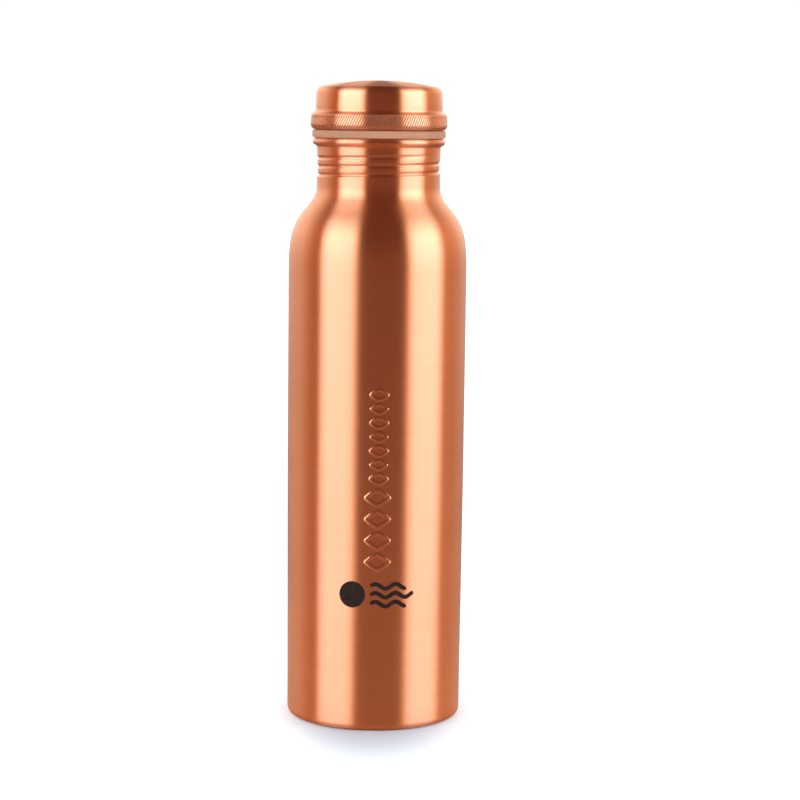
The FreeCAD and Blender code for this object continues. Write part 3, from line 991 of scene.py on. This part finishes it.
# painted reflection: rays reflected off the copper see the floor as a dim warm brown, darker farther from the bottle,
# in place of its pale colour
floor_as_reflected = n.new("ShaderNodeBsdfDiffuse")
place = n.new("ShaderNodeVectorMath", operation="LENGTH")
n.link(n.new("ShaderNodeTexCoord").outputs["Object"], place.inputs[0])
away = n.step(place.outputs["Value"], 0.05, 0.55)
n.link(n.mix(away, (0.47, 0.285, 0.19, 1), (0.23, 0.088, 0.05, 1)), floor_as_reflected.inputs[0])
ray = n.new("ShaderNodeLightPath")
both = n.new("ShaderNodeMixShader")
n.link(ray.outputs["Is Glossy Ray"], both.inputs[0])
n.link(paper.outputs[0], both.inputs[1])
n.link(floor_as_reflected.outputs[0], both.inputs[2])
n.link(both.outputs[0], out.inputs[0])
mesh.materials.append(m)

# ------------------------------------------------------------------ soft studio light
world = bpy.data.worlds.new("studio")
bpy.context.scene.world = world
world.use_nodes = True
n = Nodes(world.node_tree)
out = n.new("ShaderNodeOutputWorld")
direction = n.new("ShaderNodeTexCoord").outputs["Generated"]
xyz = n.new("ShaderNodeSeparateXYZ")
n.link(direction, xyz.inputs[0])
x, y, z = xyz.outputs
DEG = 180 / math.pi
# azimuth 0 is the side the camera stands on, positive to its right
azimuth = n.math("MULTIPLY", n.math("ARCTAN2", x, n.math("MULTIPLY", y, -1.0)), DEG)
height = n.math("MULTIPLY", n.math("ARCSINE", z), DEG)


def panel(left, right, left_soft, right_soft):
    a = n.step(azimuth, left - left_soft, left + left_soft)
    b = n.step(azimuth, right - right_soft, right + right_soft)
    return n.math("MULTIPLY", a, n.math("SUBTRACT", 1.0, b))


def lit(value):
    return tuple(value) + (1.0,)


room = lit((0.10, 0.035, 0.020))
ceiling = lit((0.15, 0.06, 0.036))
behind_left = lit((1.36, 1.24, 1.14))
behind_right = lit((1.22, 1.16, 1.08))
gap_left = lit((0.86, 0.38, 0.20))
gap_right = lit((1.08, 0.70, 0.46))
edge_glow = lit((2.9, 2.5, 1.9))
soft_left = lit((4.3, 5.0, 6.1))
soft_right = lit((4.3, 5.0, 6.1))
soft_high = lit((4.0, 3.5, 2.9))
soft_back = lit((1.1, 1.1, 0.95))

level = n.math("MULTIPLY", n.step(height, -60.0, -12.0), n.math("SUBTRACT", 1.0, n.step(height, 16.0, 54.0)))
level_back = n.math("MULTIPLY", n.step(height, -60.0, -12.0), n.math("SUBTRACT", 1.0, n.step(height, 12.0, 40.0)))
colour = room
colour = n.mix(n.step(azimuth, 60.0, 100.0), colour, gap_right)
colour = n.mix(n.math("SUBTRACT", 1.0, n.step(azimuth, -100.0, -60.0)), colour, gap_left)
colour = n.mix(n.step(azimuth, 116.0, 150.0), colour, behind_right)
colour = n.mix(n.math("SUBTRACT", 1.0, n.step(azimuth, -124.0, -92.0)), colour, behind_left)
colour = n.mix(n.step(height, 15.0, 52.0), colour, ceiling)
# each panel is warm at its rim and cooler and brighter inside
colour = n.mix(n.math("MULTIPLY", panel(-80.5, -26.3, 1.0, 3.2), level), colour, edge_glow)
colour = n.mix(n.math("MULTIPLY", panel(40.6, 96.0, 3.2, 3.5), level), colour, edge_glow)
colour = n.mix(n.math("MULTIPLY", panel(-76.0, -31.5, 5.0, 4.0), level), colour, n.mix(n.step(height, 8.0, 42.0), soft_left, soft_high))
colour = n.mix(n.math("MULTIPLY", panel(46.5, 90.0, 4.5, 6.0), level), colour, n.mix(n.step(height, 8.0, 42.0), soft_right, soft_high))
back = n.math("ADD", n.step(azimuth, 156.0, 168.0), n.math("SUBTRACT", 1.0, n.step(azimuth, -168.0, -156.0)))
colour = n.mix(n.math("MULTIPLY", back, level_back), colour, soft_back)

studio = n.new("ShaderNodeBackground")
n.put(studio.inputs[0], colour)
studio.inputs[1].default_value = 1.0
white = n.new("ShaderNodeBackground")
white.inputs[0].default_value = (1.0, 1.0, 1.0, 1)
white.inputs[1].default_value = 1.0
soft = n.new("ShaderNodeBackground")
soft.inputs[0].default_value = (0.97, 0.985, 1.0, 1)
soft.inputs[1].default_value = 1.0
ray = n.new("ShaderNodeLightPath")
for_floor = n.new("ShaderNodeMixShader")
n.link(ray.outputs["Is Diffuse Ray"], for_floor.inputs[0])
n.link(studio.outputs[0], for_floor.inputs[1])
n.link(soft.outputs[0], for_floor.inputs[2])
for_eye = n.new("ShaderNodeMixShader")
n.link(ray.outputs["Is Camera Ray"], for_eye.inputs[0])
n.link(for_floor.outputs[0], for_eye.inputs[1])
n.link(white.outputs[0], for_eye.inputs[2])
n.link(for_eye.outputs[0], out.inputs[0])

# ------------------------------------------------------------------ camera
cam_data = bpy.data.cameras.new("camera")
cam = bpy.data.objects.new("camera", cam_data)
bpy.context.scene.collection.objects.link(cam)
cam_data.sensor_width = 36.0
cam_data.lens = 112.76
cam_data.clip_start, cam_data.clip_end = 0.05, 50.0
yaw, pitch, roll = (math.radians(v) for v in (0.549, 6.698, 0.682))
look = Vector((math.sin(yaw) * math.cos(pitch), math.cos(yaw) * math.cos(pitch), -math.sin(pitch)))
right = Vector((math.cos(yaw), -math.sin(yaw), 0.0))
above = right.cross(look)
# the picture turns clockwise by roll, so the camera turns the other way
right_r = right * math.cos(roll) + above * math.sin(roll)
above_r = above * math.cos(roll) - right * math.sin(roll)
cam.matrix_world = Matrix(
    (
        (right_r.x, above_r.x, -look.x, 0.0),
        (right_r.y, above_r.y, -look.y, -1.049),
        (right_r.z, above_r.z, -look.z, 0.257),
        (0, 0, 0, 1),
    )
)
bpy.context.scene.camera = cam
bpy.context.scene.view_settings.view_transform = "Standard"
bpy.context.scene.view_settings.look = "None"

bpy.context.view_layer.update()
